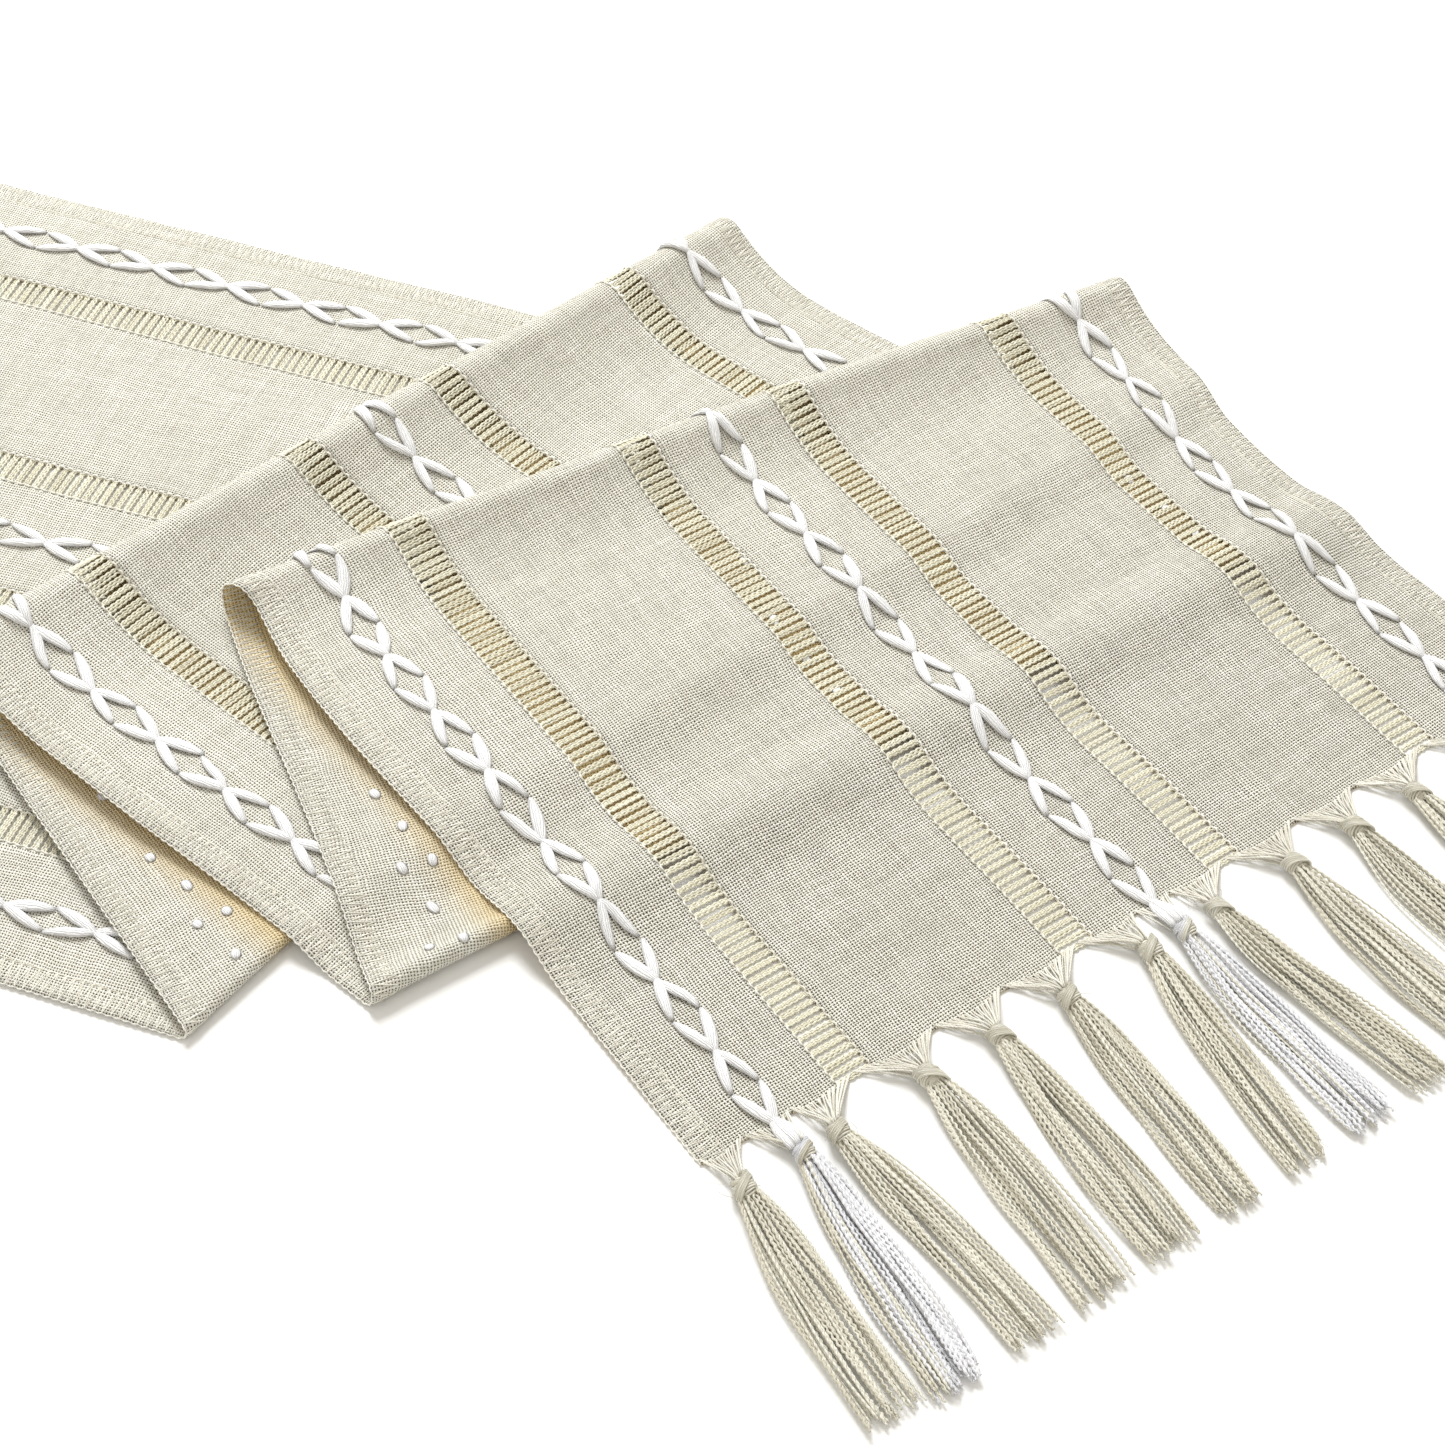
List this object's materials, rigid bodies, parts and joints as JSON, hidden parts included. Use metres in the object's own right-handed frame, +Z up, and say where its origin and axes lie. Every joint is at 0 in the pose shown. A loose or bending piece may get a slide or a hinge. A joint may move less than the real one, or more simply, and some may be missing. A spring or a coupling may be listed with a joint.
{
  "type": "table runner",
  "caption": "Long beige woven table runner with openwork ladders, white petal embroidery, stitched edges and knotted tassel fringe, fan-folded at its front end.",
  "frame": {"origin": "middle of the flat underside of the centre panel near the front fringe, on the table top", "axes": "+X across the cloth towards its right long edge, -Y towards the front fringe, +Z up from the table"},
  "size_m": [1.0029, 1.1785, 0.02],
  "materials": {
    "linen_cloth": "matt plain weave",
    "drawn_thread": "matt bundled threads",
    "edge_thread": "matt overcast thread",
    "fringe_thread": "matt twisted warp threads",
    "white_yarn": "soft matt yarn"
  },
  "bodies": {
    "cloth": {"left_edge_stitch": "edge_thread", "left_border": "linen_cloth", "left_outer_ladder": "drawn_thread", "left_panel": "linen_cloth", "left_inner_ladder": "drawn_thread", "centre_panel": "linen_cloth", "right_inner_ladder": "drawn_thread", "right_panel": "linen_cloth", "right_outer_ladder": "drawn_thread", "right_border": "linen_cloth", "right_edge_stitch": "edge_thread", "left_petal_yarn_a": "white_yarn", "left_petal_yarn_b": "white_yarn", "middle_petal_yarn_a": "white_yarn", "middle_petal_yarn_b": "white_yarn", "right_petal_yarn_a": "white_yarn", "right_petal_yarn_b": "white_yarn", "front_gathers": "fringe_thread", "rear_gathers": "fringe_thread"},
    "front_tassel_01": {"front_tassel_01": "fringe_thread"},
    "front_tassel_02": {"front_tassel_02": "white_yarn"},
    "front_tassel_03": {"front_tassel_03": "fringe_thread"},
    "front_tassel_04": {"front_tassel_04": "fringe_thread"},
    "front_tassel_05": {"front_tassel_05": "fringe_thread"},
    "front_tassel_06": {"front_tassel_06": "fringe_thread"},
    "front_tassel_07": {"front_tassel_07": "fringe_thread"},
    "front_tassel_08": {"front_tassel_08": "white_yarn"},
    "front_tassel_09": {"front_tassel_09": "fringe_thread"},
    "front_tassel_10": {"front_tassel_10": "fringe_thread"},
    "front_tassel_11": {"front_tassel_11": "fringe_thread"},
    "front_tassel_12": {"front_tassel_12": "fringe_thread"},
    "front_tassel_13": {"front_tassel_13": "fringe_thread"},
    "front_tassel_14": {"front_tassel_14": "white_yarn"},
    "front_tassel_15": {"front_tassel_15": "fringe_thread"},
    "rear_tassel_01": {"rear_tassel_01": "fringe_thread"},
    "rear_tassel_02": {"rear_tassel_02": "white_yarn"},
    "rear_tassel_03": {"rear_tassel_03": "fringe_thread"},
    "rear_tassel_04": {"rear_tassel_04": "fringe_thread"},
    "rear_tassel_05": {"rear_tassel_05": "fringe_thread"},
    "rear_tassel_06": {"rear_tassel_06": "fringe_thread"},
    "rear_tassel_07": {"rear_tassel_07": "fringe_thread"},
    "rear_tassel_08": {"rear_tassel_08": "white_yarn"},
    "rear_tassel_09": {"rear_tassel_09": "fringe_thread"},
    "rear_tassel_10": {"rear_tassel_10": "fringe_thread"},
    "rear_tassel_11": {"rear_tassel_11": "fringe_thread"},
    "rear_tassel_12": {"rear_tassel_12": "fringe_thread"},
    "rear_tassel_13": {"rear_tassel_13": "fringe_thread"},
    "rear_tassel_14": {"rear_tassel_14": "white_yarn"},
    "rear_tassel_15": {"rear_tassel_15": "fringe_thread"}
  },
  "joints": [
    {"name": "front_tassel_01_lift", "type": "hinge", "parent": "cloth", "child": "front_tassel_01", "pos_m": [-0.1485, -0.04, 0.004], "axis": [-1, 0, 0], "range_deg": [0, 160]},
    {"name": "front_tassel_02_lift", "type": "hinge", "parent": "cloth", "child": "front_tassel_02", "pos_m": [-0.1295, -0.04, 0.004], "axis": [-1, 0, 0], "range_deg": [0, 160]},
    {"name": "front_tassel_03_lift", "type": "hinge", "parent": "cloth", "child": "front_tassel_03", "pos_m": [-0.1185, -0.04, 0.004], "axis": [-1, 0, 0], "range_deg": [0, 160]},
    {"name": "front_tassel_04_lift", "type": "hinge", "parent": "cloth", "child": "front_tassel_04", "pos_m": [-0.08825, -0.04, 0.004], "axis": [-1, 0, 0], "range_deg": [0, 160]},
    {"name": "front_tassel_05_lift", "type": "hinge", "parent": "cloth", "child": "front_tassel_05", "pos_m": [-0.06475, -0.04, 0.004], "axis": [-1, 0, 0], "range_deg": [0, 160]},
    {"name": "front_tassel_06_lift", "type": "hinge", "parent": "cloth", "child": "front_tassel_06", "pos_m": [-0.04125, -0.04, 0.004], "axis": [-1, 0, 0], "range_deg": [0, 160]},
    {"name": "front_tassel_07_lift", "type": "hinge", "parent": "cloth", "child": "front_tassel_07", "pos_m": [-0.0125, -0.04, 0.004], "axis": [-1, 0, 0], "range_deg": [0, 160]},
    {"name": "front_tassel_08_lift", "type": "hinge", "parent": "cloth", "child": "front_tassel_08", "pos_m": [0, -0.04, 0.004], "axis": [-1, 0, 0], "range_deg": [0, 160]},
    {"name": "front_tassel_09_lift", "type": "hinge", "parent": "cloth", "child": "front_tassel_09", "pos_m": [0.0125, -0.04, 0.004], "axis": [-1, 0, 0], "range_deg": [0, 160]},
    {"name": "front_tassel_10_lift", "type": "hinge", "parent": "cloth", "child": "front_tassel_10", "pos_m": [0.04125, -0.04, 0.004], "axis": [-1, 0, 0], "range_deg": [0, 160]},
    {"name": "front_tassel_11_lift", "type": "hinge", "parent": "cloth", "child": "front_tassel_11", "pos_m": [0.06475, -0.04, 0.004], "axis": [-1, 0, 0], "range_deg": [0, 160]},
    {"name": "front_tassel_12_lift", "type": "hinge", "parent": "cloth", "child": "front_tassel_12", "pos_m": [0.08825, -0.04, 0.004], "axis": [-1, 0, 0], "range_deg": [0, 160]},
    {"name": "front_tassel_13_lift", "type": "hinge", "parent": "cloth", "child": "front_tassel_13", "pos_m": [0.1185, -0.04, 0.004], "axis": [-1, 0, 0], "range_deg": [0, 160]},
    {"name": "front_tassel_14_lift", "type": "hinge", "parent": "cloth", "child": "front_tassel_14", "pos_m": [0.1295, -0.04, 0.004], "axis": [-1, 0, 0], "range_deg": [0, 160]},
    {"name": "front_tassel_15_lift", "type": "hinge", "parent": "cloth", "child": "front_tassel_15", "pos_m": [0.1485, -0.04, 0.004], "axis": [-1, 0, 0], "range_deg": [0, 160]},
    {"name": "rear_tassel_01_lift", "type": "hinge", "parent": "cloth", "child": "rear_tassel_01", "pos_m": [-0.7735, 0.81238, 0.004], "axis": [0.807, 0.5906, 0], "range_deg": [0, 160]},
    {"name": "rear_tassel_02_lift", "type": "hinge", "parent": "cloth", "child": "rear_tassel_02", "pos_m": [-0.75817, 0.8236, 0.004], "axis": [0.807, 0.5906, 0], "range_deg": [0, 160]},
    {"name": "rear_tassel_03_lift", "type": "hinge", "parent": "cloth", "child": "rear_tassel_03", "pos_m": [-0.74929, 0.8301, 0.004], "axis": [0.807, 0.5906, 0], "range_deg": [0, 160]},
    {"name": "rear_tassel_04_lift", "type": "hinge", "parent": "cloth", "child": "rear_tassel_04", "pos_m": [-0.72488, 0.84796, 0.004], "axis": [0.807, 0.5906, 0], "range_deg": [0, 160]},
    {"name": "rear_tassel_05_lift", "type": "hinge", "parent": "cloth", "child": "rear_tassel_05", "pos_m": [-0.70592, 0.86184, 0.004], "axis": [0.807, 0.5906, 0], "range_deg": [0, 160]},
    {"name": "rear_tassel_06_lift", "type": "hinge", "parent": "cloth", "child": "rear_tassel_06", "pos_m": [-0.68695, 0.87572, 0.004], "axis": [0.807, 0.5906, 0], "range_deg": [0, 160]},
    {"name": "rear_tassel_07_lift", "type": "hinge", "parent": "cloth", "child": "rear_tassel_07", "pos_m": [-0.66375, 0.8927, 0.004], "axis": [0.807, 0.5906, 0], "range_deg": [0, 160]},
    {"name": "rear_tassel_08_lift", "type": "hinge", "parent": "cloth", "child": "rear_tassel_08", "pos_m": [-0.65367, 0.90009, 0.004], "axis": [0.807, 0.5906, 0], "range_deg": [0, 160]},
    {"name": "rear_tassel_09_lift", "type": "hinge", "parent": "cloth", "child": "rear_tassel_09", "pos_m": [-0.64358, 0.90747, 0.004], "axis": [0.807, 0.5906, 0], "range_deg": [0, 160]},
    {"name": "rear_tassel_10_lift", "type": "hinge", "parent": "cloth", "child": "rear_tassel_10", "pos_m": [-0.62038, 0.92445, 0.004], "axis": [0.807, 0.5906, 0], "range_deg": [0, 160]},
    {"name": "rear_tassel_11_lift", "type": "hinge", "parent": "cloth", "child": "rear_tassel_11", "pos_m": [-0.60142, 0.93833, 0.004], "axis": [0.807, 0.5906, 0], "range_deg": [0, 160]},
    {"name": "rear_tassel_12_lift", "type": "hinge", "parent": "cloth", "child": "rear_tassel_12", "pos_m": [-0.58245, 0.95221, 0.004], "axis": [0.807, 0.5906, 0], "range_deg": [0, 160]},
    {"name": "rear_tassel_13_lift", "type": "hinge", "parent": "cloth", "child": "rear_tassel_13", "pos_m": [-0.55804, 0.97007, 0.004], "axis": [0.807, 0.5906, 0], "range_deg": [0, 160]},
    {"name": "rear_tassel_14_lift", "type": "hinge", "parent": "cloth", "child": "rear_tassel_14", "pos_m": [-0.54917, 0.97657, 0.004], "axis": [0.807, 0.5906, 0], "range_deg": [0, 160]},
    {"name": "rear_tassel_15_lift", "type": "hinge", "parent": "cloth", "child": "rear_tassel_15", "pos_m": [-0.53383, 0.98779, 0.004], "axis": [0.807, 0.5906, 0], "range_deg": [0, 160]}
  ]
}
